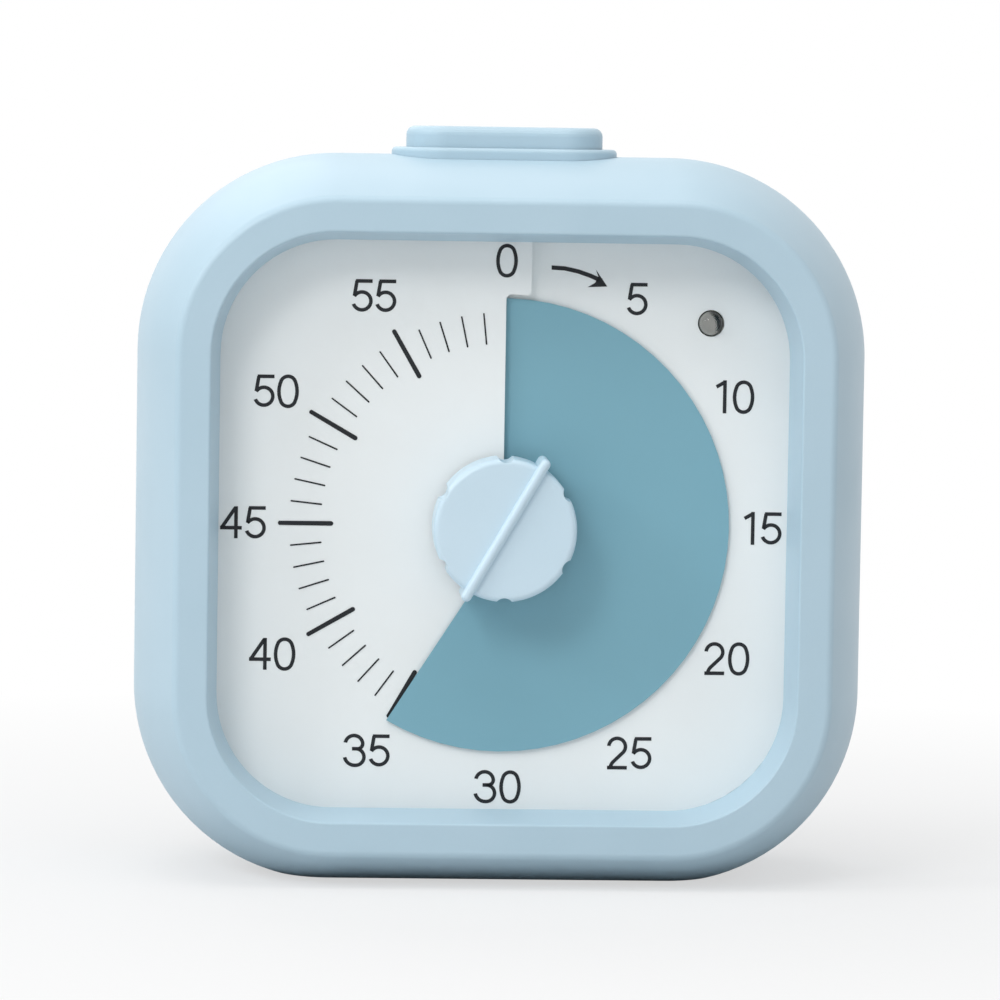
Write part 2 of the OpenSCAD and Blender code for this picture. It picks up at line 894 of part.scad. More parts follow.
function gearbox_posts() = [for (x = [box_low.x + post_inset, box_high.x - post_inset],
    y = [box_low.y + post_inset, box_high.y - post_inset]) [x, y]];

module round_box(low, high, r) {
    translate(low + [r, 0]) square(high - low - [2 * r, 0]);
    translate(low + [0, r]) square(high - low - [0, 2 * r]);
    for (x = [low.x + r, high.x - r], y = [low.y + r, high.y - r]) translate([x, y]) circle(r);
}

module arbor_places() {
    for (p = [third_at, second_at, first_at, rotor_at]) translate(p) children();
}

module gearbox_cover() {
    cheek = [1, 1] * cover_wall;
    color("gainsboro") difference() {
        union() {
            slab(chassis_back, cover_back) difference() {
                round_box(box_low, box_high, box_round);
                round_box(box_low + cheek, box_high - cheek, box_round - cover_wall);
            }
            slab(cover_inside, cover_back) round_box(box_low, box_high, box_round);
            slab(chassis_back, cover_back) dots(gearbox_posts(), post_r);
        }
        slab(cover_inside - past, cover_inside + pivot_l + running) {
            arbor_places() circle(bearing_r);
            circle(press_r + running);
        }
        slab(chassis_back - past, cover_back + past)
            dots(gearbox_posts(), gearbox_screw_r + seat_gap);
    }
}

// Plate behind the dial: front bearings, posts for the board, room for the lamp
board_low = [-8, 15.2];
board_high = [33, 28.4];
board_lift = 2;
board_front = chassis_back + board_lift;
board_t = 1.2;
board_post_r = 2;
board_screw_r = 0.7;
board_screw_l = 3;
small_head_r = 1.5;
small_head_t = 0.8;
board_places = [[-5, 18], [-5, 25.6], [30, 18]];

module chassis_plate() {
    color("gainsboro") difference() {
        union() {
            slab(dial_back, chassis_back) {
                rounded_square(chassis_half);
                ears();
            }
            slab(chassis_back, board_front) dots(board_places, board_post_r);
            slab(chassis_back, stator_front) dots(stator_places, stator_post_r);
        }
        slab(dial_back - past, chassis_back + past) {
            circle(spindle_r + running);
            translate(led_at) circle(led_flange_r + seat_gap);
            dots(dial_screw_places(), dial_screw_r + seat_gap);
            dots(gearbox_posts(), gearbox_screw_r);
        }
        slab(chassis_back - pivot_l - running, chassis_back + past)
            arbor_places() circle(bearing_r);
        slab(chassis_back, board_front + past) dots(board_places, board_screw_r);
    }
}

// ---- Electrical pieces ----

leg_r = 0.25;
leg_half = 1.27;

module led() {
    dome_at = led_tip + led_r;
    color("lightgray") {
        turned(concat(
            [[0, dial_back + led_flange_t], [led_flange_r, dial_back + led_flange_t],
                [led_flange_r, dial_back]],
            [[led_r, dial_back]],
            arc([0, dome_at], led_r, 0, -90, 8)
        ), led_at);
        slab(dial_back + led_flange_t - seat_gap, board_front + board_t)
            translate(led_at) dots([[-leg_half, 0], [leg_half, 0]], leg_r);
    }
}

module main_board() {
    color("seagreen") slab(board_front, board_front + board_t) difference() {
        translate(board_low) square(board_high - board_low);
        dots(board_places, board_screw_r + seat_gap);
        translate(led_at) dots([[-leg_half, 0], [leg_half, 0]], leg_r);
    }
}

// Round sounder with an opening that faces the grille
module buzzer() {
    rim = 1;
    lip = 0.6;
    color("dimgray") difference() {
        slab(back_inside - buzzer_t, back_inside) translate(buzzer_at) circle(buzzer_r);
        slab(back_inside - lip, back_inside + past) translate(buzzer_at) circle(buzzer_r - rim);
    }
}

block_play = 0.8;
switch_front = back_inside - can_t;
block_front = switch_front + can_wall + block_play;

module sound_switch() {
    color("silver") difference() {
        slab(switch_front, back_inside) translate(switch_at) box_outline(can / 2);
        slab(block_front - slide_gap, block_front + slider_block_t + slide_gap)
            translate(switch_at)
                box_outline(slider_block / 2 + [switch_travel + slide_gap, slide_gap]);
        slab(block_front, back_inside + past) translate(switch_at)
            box_outline(stem / 2 + [switch_travel + slide_gap, slide_gap]);
    }
}

// The block inside the switch, its stem through the wall and the grooved thumb piece
module sound_slider() {
    thumb_front = body_d - recess_depth + slide_gap / 2;
    grooves = 3;
    groove_w = 0.5;
    color("white") difference() {
        union() {
            slab(block_front, block_front + slider_block_t)
                translate(switch_at) box_outline(slider_block / 2);
            slab(block_front, thumb_front + thumb_t) translate(switch_at) box_outline(stem / 2);
            slab(thumb_front, thumb_front + thumb_t) translate(switch_at)
                box_outline(thumb / 2);
        }
        for (i = [0:grooves - 1])
            slab(thumb_front + thumb_t - groove_w / 2, body_d + past) translate(switch_at)
                translate([(i - (grooves - 1) / 2) * 2 * groove_w, 0])
                    square([groove_w, 2 * thumb.y], center = true);
    }
}

// ---- Top button ----

top_z = centre_z + body_half;
collar_top = top_z + collar_rise;
button_top = collar_top + button_rise;
collar_round = 0.5;
button_round = 1;
flange_h = 1;
flange_lap = 0.8;
button_drop = 5.5;
button_flange_top = top_z - button_drop;
collar_low = button_flange_top + seat_gap;
cap_wall = 1.2;
cap_top_t = 1.6;
ear_t = 1.1;
ear_l = 6.6;
ear_d = 5.4;
ear_screw_r = 0.75;
ear_screw_l = 4;
ear_boss_r = 2.2;
ear_far = collar_l / 2 + ear_l;
ear_screw_at = [ear_far - ear_boss_r - slide_gap, ear_d * 2 / 3];
leg_t = 1.6;
leg_room = 0.95;
leg_at = button_l / 2 + flange_lap + leg_room;
leg_d = 8;
shelf_t = 1;
shelf_w = 1.8;
button_board_t = 1.2;
button_over = 0.3;
button_board_top = button_flange_top - flange_h - button_travel - button_over;
button_board_low = button_board_top - button_board_t;
tact_half = 2.3;
tact_h = 3.4;
plunger_r = 1.3;
plunger_h = 1;
plunger_travel = 0.25;
plunger_seat = 0.4;
striker_r = 1.2;
striker_low = button_board_top + tact_h + plunger_h + button_travel + seat_gap / 2;
spring_at = 7;
spring_r = 2;
spring_wire = 0.25;
spring_turns = 7;

// A stadium-shaped block whose upper edge is rounded
module soft_block(low, high, length, width, r) {
    middle = face_y + seam_depth;
    side = concat([[width / 2, low]], arc([width / 2 - r, high - r], r, 0, 90, 5));
    other = [for (i = [len(side) - 1:-1:0]) [-side[i].x, side[i].y]];
    for (x = [-1, 1]) translate([x * (length - width) / 2, middle, 0])
        rotate_extrude() polygon(concat([[0, low]], side, [[0, high]]));
    translate([-(length - width) / 2, middle, 0]) rotate([90, 0, 90])
        linear_extrude(length - width) polygon(concat(side, other));
}

module button_collar() {
    hole = [button_l + 2 * slide_gap, button_w + 2 * slide_gap];
    color("lightblue") difference() {
        union() {
            soft_block(collar_low, collar_top, collar_l, collar_w, collar_round);
            for (x = [-1, 1]) {
                upright(collar_low, collar_low + ear_t)
                    translate([x * (hole.x / 2 + ear_far) / 2, ear_d / 2])
                        square([ear_far - hole.x / 2, ear_d], center = true);
                upright(button_board_low - shelf_t, collar_low + ear_t)
                    translate([x * (leg_at + leg_t / 2), 0])
                        square([leg_t, leg_d], center = true);
                upright(button_board_low - shelf_t, button_board_low)
                    translate([x * (leg_at + leg_t / 2 - shelf_w / 2), 0])
                        square([leg_t + shelf_w, leg_d], center = true);
            }
        }
        upright(collar_low - past, collar_top + past) stadium(hole.x, hole.y);
        upright(collar_low - past, collar_low + ear_t + past)
            for (x = [-1, 1]) translate([x * ear_screw_at.x, ear_screw_at.y])
                circle(ear_screw_r + seat_gap);
    }
}

// Bosses under the rear shell's top, which the collar's ears are screwed to
module collar_screw_bosses() {
    upright(collar_low + ear_t, top_z - wall / 2)
        for (x = [-1, 1]) translate([x * ear_screw_at.x, ear_screw_at.y]) circle(ear_boss_r);
}

module collar_screw_holes() {
    upright(collar_low, top_z - wall / 2)
        for (x = [-1, 1]) translate([x * ear_screw_at.x, ear_screw_at.y]) circle(ear_screw_r);
}

module button_cap() {
    foot = button_flange_top - flange_h;
    color("lightblue") {
        difference() {
            union() {
                soft_block(foot, button_top, button_l, button_w, button_round);
                upright(foot, button_flange_top)
                    stadium(button_l + 2 * flange_lap, button_w + 2 * flange_lap);
            }
            upright(foot - past, button_top - cap_top_t)
                stadium(button_l - 2 * cap_wall, button_w - 2 * cap_wall);
        }
        upright(striker_low, button_top - cap_top_t / 2) circle(striker_r);
    }
}

// A coil of round wire along Z; its radius goes from r0 to r1
module coil_spring(r0, r1, length, turns, wire) {
    sides = 6;
    per_turn = 14;
    n = turns * per_turn;
    points = [for (i = [0:n], k = [0:sides - 1]) let (
            a = 360 * i / per_turn,
            b = 360 * k / sides,
            r = r0 + (r1 - r0) * i / n + wire * cos(b)
        )
        [r * cos(a), r * sin(a), wire + (length - 2 * wire) * i / n + wire * sin(b)]];
    polyhedron(
        points = points,
        faces = concat(
            [[for (k = [0:sides - 1]) k]],
            [for (i = [0:n - 1], k = [0:sides - 1]) let (
                    a = sides * i, b = a + sides, l = (k + 1) % sides
                )
                each [[a + k, b + l, a + l], [a + k, b + k, b + l]]],
            [[for (k = [sides - 1:-1:0]) sides * n + k]]
        )
    );
}

module button_springs() {
    color("silver") for (x = [-1, 1])
        translate([x * spring_at, face_y + seam_depth, button_board_top])
            coil_spring(spring_r, spring_r, button_top - cap_top_t - button_board_top,
                spring_turns, spring_wire);
}

module button_board() {
    half = [leg_at - slide_gap / 2, (leg_d + shelf_t) / 2];
    color("seagreen") upright(button_board_low, button_board_top) box_outline(half);
}

module tact_switch() {
    pocket = plunger_travel + plunger_seat + seat_gap;
    color("dimgray") difference() {
        upright(button_board_top, button_board_top + tact_h)
            square(2 * tact_half, center = true);
        upright(button_board_top + tact_h - pocket, button_board_top + tact_h + past)
            circle(plunger_r + seat_gap);
    }
}

module tact_plunger() {
    low = button_board_top + tact_h - plunger_seat;
    color("white") upright(low, button_board_top + tact_h + plunger_h) circle(plunger_r);
}

// ---- Batteries ----

cap_r = 1.9;
cap_t = 1;
cell_round = 0.6;
contact_spring_r = [3.4, 2.4];
contact_wire = 0.3;
contact_turns = 4;
row_z = [bay_z + cell_r + bay_play / 4, bay_z - cell_r - bay_play / 4];
bay_end = bay_half.x - contact_t;

// Puts what is drawn along +X from the left end of one of the two rows; the
// lower row points the other way
module along_row(i) {
    translate([0, face_y + cell_depth, centre_z + row_z[i]])
        rotate([0, 0, 180 * i]) translate([-bay_end, 0, 0]) rotate([0, 90, 0]) children();
}

module battery_cells() {
    color("silver") for (i = [0, 1]) along_row(i)
        translate([0, 0, spring_room]) rotate_extrude() polygon(concat(
            [[0, 0], [cell_r - cell_round, 0], [cell_r, cell_round]],
            [[cell_r, cell_l - cap_t - cell_round], [cell_r - cell_round, cell_l - cap_t]],
            [[cap_r, cell_l - cap_t], [cap_r, cell_l], [0, cell_l]]
        ));
}

module contact_springs() {
    color("silver") for (i = [0, 1]) along_row(i)
        coil_spring(contact_spring_r[0], contact_spring_r[1], spring_room,
            contact_turns, contact_wire);
}

// Two plates at the left end, one to each cell, and one that joins them at the right
module contact_plates() {
    h = 2 * cell_r - bay_play;
    color("gold") {
        for (z = row_z) slab(cell_depth - h / 2, cell_depth + h / 2)
            translate([-bay_half.x, z - h / 2]) square([contact_t, h]);
        slab(cell_depth - h / 2, cell_depth + h / 2)
            translate([bay_end, row_z[1] - h / 2]) square([contact_t, row_z[0] - row_z[1] + h]);
    }
}

// Door with a round lower edge that it swings on, two hooks, and grip grooves
module battery_door() {
    grips = 3;
    grip = [9, 0.8];
    grip_edge = 3;
    color("lightblue") difference() {
        union() {
            slab(door_seat, body_d) on_bay() translate([-door_half.x, hinge_r - door_half.y])
                square([2 * door_half.x, 2 * door_half.y - hinge_r]);
            translate([0, face_y + door_seat + hinge_r, centre_z + bay_z - door_half.y + hinge_r])
                rotate([0, 90, 0]) cylinder(r = hinge_r, h = 2 * door_half.x, center = true);
            slab(door_seat - 2 * hook_t, door_seat + past / 2) on_bay()
                for (x = [-1, 1]) translate([x * hook_at, -door_half.y + hook_t])
                    square([hook_w, 2 * hook_t], center = true);
            slab(door_seat - 2 * hook_t, door_seat - hook_t) on_bay()
                for (x = [-1, 1]) translate([x * hook_at, -door_half.y + hook_t - hook_l / 2])
                    square([hook_w, 2 * hook_t + hook_l], center = true);
        }
        for (i = [0:grips - 1])
            slab(body_d - grip.y / 2, body_d + past) on_bay()
                translate([0, door_half.y - grip_edge - 2 * grip.y * i]) box_outline(grip / 2);
    }
}

// ---- Screws ----

// A screw whose head's seat lies at a depth and whose shank points to the front
module screw(at, seat, shank_r, shank_l, head_r, head_t) {
    cross = [2.4, 0.5] * head_r / 2;
    difference() {
        union() {
            slab(seat, seat + head_t) translate(at) circle(head_r);
            slab(seat - shank_l, seat + past / 4) translate(at) circle(shank_r);
        }
        slab(seat + head_t / 2, seat + head_t + past) translate(at) {
            square(cross, center = true);
            square([cross.y, cross.x], center = true);
        }
    }
}

module dial_screws() {
    color("silver") for (p = dial_screw_places())
        screw(p, chassis_back, dial_screw_r - running, dial_screw_l, dial_head_r, head_t);
}

module case_screws() {
    color("silver") for (p = case_places())
        screw(p, case_seat, case_screw_r - running, case_screw_l, case_head_r, case_head_t);
}

module gearbox_screws() {
    color("silver") for (p = gearbox_posts())
        screw(p, cover_back, gearbox_screw_r - running, cover_back - dial_back - layer_gap,
            dial_head_r, head_t);
}

module board_screws() {
    color("silver") for (p = board_places)
        screw(p, board_front + board_t, board_screw_r - running, board_screw_l,
            small_head_r, small_head_t);
}

module collar_screws() {
    color("silver") for (x = [-1, 1])
        translate([x * ear_screw_at.x, face_y + seam_depth + ear_screw_at.y, collar_low]) {
            cylinder(r = ear_screw_r - running, h = ear_screw_l);
            translate([0, 0, -small_head_t]) cylinder(r = small_head_r, h = small_head_t);
        }
}

front_housing();
rear_cover();
dial_plate();
time_film();
film_hub();
knob();
spindle();
button_collar();
button_cap();
button_springs();
button_board();
tact_switch();
tact_plunger();
led();
chassis_plate();
gearbox_cover();
centre_wheel();
clutch_spring();
clutch_collar();
third_wheel();
second_wheel();
first_wheel();
rotor();
stator();
coil();
main_board();
buzzer();
sound_switch();
sound_slider();
battery_cells();
contact_springs();
contact_plates();
battery_door();
dial_screws();
case_screws();
gearbox_screws();
board_screws();
collar_screws();
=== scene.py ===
"""Visual countdown timer: the finished look round its fixed construction frame."""

import json
import math

import bmesh
import bpy
from mathutils import Matrix, Vector


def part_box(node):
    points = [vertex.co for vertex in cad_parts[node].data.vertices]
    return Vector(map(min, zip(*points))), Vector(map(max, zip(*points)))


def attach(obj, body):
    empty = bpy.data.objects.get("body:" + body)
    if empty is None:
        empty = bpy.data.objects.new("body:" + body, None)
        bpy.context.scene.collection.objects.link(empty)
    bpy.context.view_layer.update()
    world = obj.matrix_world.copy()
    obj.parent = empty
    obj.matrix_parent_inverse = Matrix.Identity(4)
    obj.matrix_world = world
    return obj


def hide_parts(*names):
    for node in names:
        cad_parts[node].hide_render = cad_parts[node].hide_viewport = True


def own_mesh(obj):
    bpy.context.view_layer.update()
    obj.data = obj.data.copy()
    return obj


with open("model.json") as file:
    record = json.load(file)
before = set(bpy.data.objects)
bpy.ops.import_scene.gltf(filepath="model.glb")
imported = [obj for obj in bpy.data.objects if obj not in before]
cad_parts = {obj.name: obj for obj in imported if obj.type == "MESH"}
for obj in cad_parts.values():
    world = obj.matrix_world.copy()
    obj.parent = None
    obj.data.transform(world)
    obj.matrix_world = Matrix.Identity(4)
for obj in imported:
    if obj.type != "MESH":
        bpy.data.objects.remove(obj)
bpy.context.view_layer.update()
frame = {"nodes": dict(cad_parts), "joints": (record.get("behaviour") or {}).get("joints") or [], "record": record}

MM = 0.001
HALF_HEIGHT = 43                         # from the middle of the front to its top
FACE_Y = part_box("front_housing")[0].y / MM                      # the bezel's flat face
CENTRE_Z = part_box("front_housing")[1].z / MM - HALF_HEIGHT      # the middle of the face


def spot(x, up, depth):
    """A point in metres from millimetres right of the face's middle, above it and behind the bezel."""
    return Vector((x, FACE_Y + depth, CENTRE_Z + up)) * MM


# ---------------------------------------------------------------- node trees

def tint(red, green, blue):
    """A display colour of 0 to 255 as the linear colour that the shader takes."""
    def linear(c):
        c /= 255
        return c / 12.92 if c <= 0.04045 else ((c + 0.055) / 1.055) ** 2.4
    return (linear(red), linear(green), linear(blue), 1)


class Signal:
    """The output of a node, on which arithmetic adds Math nodes."""

    def __init__(self, tree, socket):
        self.tree, self.socket = tree, socket

    def __add__(self, other):
        return self.tree.maths("ADD", self, other)

    def __sub__(self, other):
        return self.tree.maths("SUBTRACT", self, other)

    def __rsub__(self, other):
        return self.tree.maths("SUBTRACT", other, self)

    def __mul__(self, other):
        return self.tree.maths("MULTIPLY", self, other)

    def __gt__(self, other):
        return self.tree.maths("GREATER_THAN", self, other)

    def __lt__(self, other):
        return self.tree.maths("LESS_THAN", self, other)

    def __abs__(self):
        return self.tree.maths("ABSOLUTE", self)

    __radd__, __rmul__ = __add__, __mul__


class Tree:
    """The nodes of a material or of the world."""

    def __init__(self, nodes_and_links):
        self.nodes, self.links = nodes_and_links.nodes, nodes_and_links.links

    def node(self, kind, settings, values, out=0):
        """Adds a node: its settings first, then the values or links of its sockets."""
        made = self.nodes.new("ShaderNode" + kind)
        for name, value in settings.items():
            setattr(made, name, value)
        for socket, value in values.items():
            if isinstance(value, Signal):
                self.links.new(value.socket, made.inputs[socket])
            else:
                made.inputs[socket].default_value = value
        return Signal(self, made.outputs[out])

    def maths(self, operation, *values):
        return self.node("Math", {"operation": operation}, dict(enumerate(values)))

    def band(self, signal, low, high, out_low=0.0, out_high=1.0):
        """Maps low..high of a signal to out_low..out_high, and stops there."""
        return self.node("MapRange", {}, {0: signal, 1: low, 2: high, 3: out_low, 4: out_high})

    def rays(self, *kinds):
        """1 for a ray of one of the kinds, and 0 for any other."""
        first, *others = (self.node("LightPath", {}, {}, "Is %s Ray" % kind) for kind in kinds)
        return sum(others, first)


class Finish(Tree):
    """One material: a Principled surface and the nodes that vary it."""

    def __init__(self, name, **constants):
        self.material = bpy.data.materials.new(name)
        self.material.use_nodes = True
        super().__init__(self.material.node_tree)
        self.surface = self.nodes["Principled BSDF"]
        for socket, value in constants.items():
            self.surface.inputs[socket.replace("_", " ")].default_value = value
        self.place = self.node("TexCoord", {}, {}, "Object")

    def axes(self, origin=(0, 0, 0)):
        """Millimetres to the right, to the back and up from an origin in millimetres."""
        parts = [self.node("SeparateXYZ", {}, {0: self.place}, axis) for axis in "XYZ"]
        return [part * (1 / MM) - start for part, start in zip(parts, origin)]

    def off_axis(self, across, up):
        """Distance from an axis, from the two coordinates that stand square to it."""
        return self.maths("SQRT", across * across + up * up)

    def noise(self, size_mm, detail=3.0, stretch=(1, 1, 1)):
        """Cloudy noise from 0 to 1 whose spots are about size_mm wide, finer by stretch."""
        place = self.node("Mapping", {}, {"Vector": self.place, "Scale": stretch})
        return self.node("TexNoise", {}, {
            "Vector": place, "Scale": 1 / (size_mm * MM), "Detail": detail})

    def mix(self, factor, first, second):
        """A colour that goes from first to second."""
        return self.node("Mix", {"data_type": "RGBA"}, {0: factor, 6: first, 7: second}, 2)

    def feed(self, **signals):
        """Links signals to the surface's own sockets."""
        for socket, value in signals.items():
            self.links.new(value.socket, self.surface.inputs[socket.replace("_", " ")])
        return self

    def bump(self, height, depth_mm):
        """Raises the surface by height times depth_mm."""
        return self.feed(Normal=self.node("Bump", {}, {
            "Height": height, "Distance": depth_mm * MM, "Strength": 1.0}))


# ---------------------------------------------------------------- finishes

PLASTIC_IOR, RESIN_IOR = 1.49, 1.53
CLOUD_MM = 14                            # soft clouding of a moulded colour
STREAK_MM, PATCH_MM = 0.5, 4             # drawing streaks and dull patches of metal
SCRATCH_DEPTH = 0.004                    # millimetres, on metal and sleeves


def moulded(name, colour, shade, roughness, grain_mm=0.16, grain_depth=0.004, **constants):
    """Injection-moulded plastic: a faint clouding of the colour, and the mould's spark grain."""
    finish = Finish(name, IOR=PLASTIC_IOR, **constants)
    cloud = finish.noise(CLOUD_MM, 2)
    grain = finish.noise(grain_mm, 2)
    finish.feed(
        Base_Color=finish.mix(finish.band(cloud + grain * 0.35, 0.45, 0.9), colour, shade),
        Roughness=finish.band(cloud + grain * 0.5, 0.4, 1.1, roughness - 0.04, roughness + 0.05))
    return finish.bump(grain, grain_depth)


def metal(name, colour, shade, roughness, stretch=(1, 1, 1)):
    """Turned, drawn or plated metal: fine streaks and slightly dull patches."""
    finish = Finish(name, Metallic=1.0)
    streak = finish.noise(STREAK_MM, 4, stretch)
    patch = finish.noise(PATCH_MM, 3)
    finish.feed(
        Base_Color=finish.mix(finish.band(patch + streak * 0.5, 0.5, 1.0), colour, shade),
        Roughness=finish.band(patch + streak * 0.4, 0.4, 1.0, roughness - 0.06, roughness + 0.1))
    return finish.bump(streak, SCRATCH_DEPTH)


CELLS_AT = (0, 13.4, CENTRE_Z - 12.6)    # the middle between the two cells
CELL_OFF = 5.45                          # a cell's axis lies this far above or below it
SLEEVE_AT, SLEEVE_HALF = 2.35, 21.6      # the sleeve's middle along a cell, and half its length
BARE_R = 4.4                             # past the sleeve, metal shows inside this radius
BAND_AT = 13                             # where the coloured band starts along a cell
BAR_LONG, BAR_THIN = 1.5, 0.25           # half the length and half the width of a sign's bar
PLUS_AT, MINUS_AT = 18.5, -14


def battery_cells():
    """Two cells head to tail: a sleeve with a band and a sign at each end, and bare metal ends."""
    finish = Finish("cell_sleeve", IOR=PLASTIC_IOR, Coat_Roughness=0.2)
    right, back, up = finish.axes(CELLS_AT)
    along = right * ((up > 0) * 2 - 1)           # towards the plus end, in either row
    across = abs(up) - CELL_OFF
    bare = (abs(along - SLEEVE_AT) > SLEEVE_HALF) * (finish.off_axis(across, back) < BARE_R)

    def bar(at, half_length, half_height):
        return (abs(along - at) < half_length) * (abs(across) < half_height)

    sign = (bar(PLUS_AT, BAR_LONG, BAR_THIN) + bar(PLUS_AT, BAR_THIN, BAR_LONG)
            + bar(MINUS_AT, BAR_LONG, BAR_THIN))
    scratch = finish.noise(1.2, 4, (1, 5, 5))
    sleeve = finish.mix(along > BAND_AT, tint(44, 50, 58), tint(203, 138, 64))
    sleeve = finish.mix(sign * (back > 0), sleeve, tint(232, 234, 234))
    finish.feed(
        Base_Color=finish.mix(bare, sleeve, tint(206, 207, 208)), Metallic=bare,
        Roughness=finish.band(scratch, 0.3, 0.8, 0.26, 0.4), Coat_Weight=(1 - bare) * 0.3)
    return finish.bump(scratch, SCRATCH_DEPTH)


WINDING_HALF = 3.8                       # the wire ends this far from the bobbin's middle
WIRE_R, WIRE_DEPTH = 0.09, 0.04


def coil_winding():
    """Fine enamelled wire wound between the bobbin's two white cheeks, with painted shade in the grooves between
    turns and a painted highlight on each turn's crest.
    """
    finish = Finish("copper_winding")
    low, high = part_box("coil")
    up = finish.axes((low + high) / 2 / MM)[2]
    wire = abs(up) < WINDING_HALF
    turns = finish.maths("PINGPONG", up, WIRE_R) * (1 / WIRE_R)
    patch = finish.noise(2, 3)
    # painted shade and highlight: the copper goes from dark in the groove between two turns to light on each
    # turn's crest
    groove_shaded_copper = finish.mix(turns, tint(150, 78, 42), tint(206, 122, 72))
    finish.feed(
        Base_Color=finish.mix(wire, tint(226, 226, 222), groove_shaded_copper), Metallic=wire,
        Roughness=finish.band(patch, 0.3, 0.7, 0.3, 0.42))
    return finish.bump(turns * wire, WIRE_DEPTH)


def clear_resin():
    """The cast resin of a small lamp, faintly smoked."""
    finish = Finish("lamp_clear", IOR=RESIN_IOR, Transmission_Weight=1.0)
    cloud = finish.noise(1.5, 2)
    return finish.feed(
        Base_Color=finish.mix(cloud, tint(200, 200, 192), tint(190, 190, 182)),
        Roughness=finish.band(cloud, 0.3, 0.7, 0.01, 0.03))


PINION_Y = 0.0                           # the rotor's pinion lies behind this, its magnet in front


def rotor_magnet():
    """A dark magnet disc and, behind it, a white moulded pinion."""
    finish = Finish("magnet_dark", IOR=PLASTIC_IOR)
    patch = finish.noise(1.5, 3)
    dark = finish.mix(patch, tint(50, 49, 49), tint(66, 64, 63))
    finish.feed(
        Base_Color=finish.mix(finish.axes()[1] < PINION_Y, tint(228, 228, 224), dark),
        Roughness=finish.band(patch, 0.3, 0.7, 0.4, 0.55))
    return finish.bump(patch, SCRATCH_DEPTH)


FINISHES = {
    "shell_blue": moulded("shell_blue", tint(181, 206, 220), tint(177, 203, 217), 0.42),
    "knob_blue": moulded("knob_blue", tint(203, 225, 238), tint(199, 222, 235), 0.34,
                         grain_depth=0.002),
    "dial_white": moulded("dial_white", tint(243, 247, 247), tint(240, 244, 244), 0.6,
                          grain_mm=0.1, grain_depth=0.002),
    "film_teal": moulded("film_teal", tint(124, 174, 190), tint(122, 172, 188), 0.5,
                         grain_mm=0.08, grain_depth=0.001),
    "white_plastic": moulded("white_plastic", tint(228, 228, 224), tint(220, 221, 216), 0.4),
    "lamp_clear": clear_resin(),
    "board_green": moulded("board_green", tint(30, 92, 58), tint(24, 80, 50), 0.4),
    "black_plastic": moulded("black_plastic", tint(36, 37, 40), tint(28, 29, 31), 0.45),
    "magnet_dark": rotor_magnet(),
    "cell_sleeve": battery_cells(),
    "copper_winding": coil_winding(),
    "brass": metal("brass", tint(206, 172, 98), tint(188, 154, 84), 0.28, (1, 6, 1)),
    "steel": metal("steel", tint(196, 198, 200), tint(176, 178, 182), 0.3, (6, 1, 1)),
}
INK = moulded("printing_ink", tint(34, 38, 42), tint(28, 31, 35), 0.5, grain_depth=0.0005,
              Specular_IOR_Level=0.3)

for part in frame["record"]["subparts"]:
    slots = frame["nodes"][part["node"]].data.materials
    slots.clear()
    slots.append(FINISHES[part["material_slot"]].material)

# ---------------------------------------------------------------- printed dial

DIAL_FRONT, PITCH = 7.4, 1.45            # the highest part of the dial, and its climb in one turn
WELL_R, STEP_JOG = 27.0, 2.9             # the film's well, and the sideways shift of the step
INK_LIFT, INK_T = 0.03, 0.024            # how far the ink stands above the dial, and its thickness
WELD = 0.0005                            # corners nearer than this are one corner
ARC_STEP = 0.14                          # radians in one piece of a curved stroke
MINUTE_TURN = 6                          # degrees of the dial


def piece(name, bm, finish, body, smooth=30):
    """Makes a mesh an object that rides on a body; edges under `smooth` degrees are shaded round."""
    bmesh.ops.remove_doubles(bm, verts=bm.verts, dist=WELD * MM)
    bmesh.ops.recalc_face_normals(bm, faces=bm.faces)
    for edge in bm.edges:
        edge.smooth = edge.calc_face_angle(math.pi) < math.radians(smooth)
    for face in bm.faces:
        face.smooth = True
    mesh = bpy.data.meshes.new(name)
    bm.to_mesh(mesh)
    bm.free()
    mesh.materials.append(finish.material)
    made = bpy.data.objects.new(name, mesh)
    bpy.context.scene.collection.objects.link(made)
    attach(made, body)
    return made


def dial_depth(x, up):
    """Depth in millimetres of the dial's spiral face. Outside the well the high end goes past 12."""
    turn = math.degrees(math.atan2(x, up)) % 360
    if turn < 90 and x < STEP_JOG and math.hypot(x, up) > WELL_R:
        turn += 360
    return DIAL_FRONT + PITCH * (1 - turn / 360)


def stroke(bm, start, heading, moves, width):
    """Draws a flat pen stroke in millimetres; a move is a length, or a radius and a left turn."""
    place, heading = Vector((*start, 0)), math.radians(heading)
    left = Vector((-math.sin(heading), math.cos(heading), 0))
    tip = bm.edges.new([bm.verts.new(place + left * side * width / 2) for side in (1, -1)])
    for move in moves:
        if isinstance(move, tuple):
            radius, turn = move[0], math.radians(move[1])
            grown = bmesh.ops.spin(
                bm, geom=[tip, *tip.verts], axis=(0, 0, 1), angle=turn, use_merge=False,
                cent=place + left * math.copysign(radius, turn),
                steps=max(2, round(abs(turn) / ARC_STEP)))
            tip = [e for e in grown["geom_last"] if isinstance(e, bmesh.types.BMEdge)][0]
            heading += turn
        else:
            grown = bmesh.ops.extrude_edge_only(bm, edges=[tip])["geom"]
            tip = [e for e in grown if isinstance(e, bmesh.types.BMEdge)
                   and not any(v in tip.verts for v in e.verts)][0]
            bmesh.ops.translate(
                bm, verts=tip.verts, vec=Vector((math.cos(heading), math.sin(heading), 0)) * move)
        place = (tip.verts[0].co + tip.verts[1].co) / 2
        left = Vector((-math.sin(heading), math.cos(heading), 0))


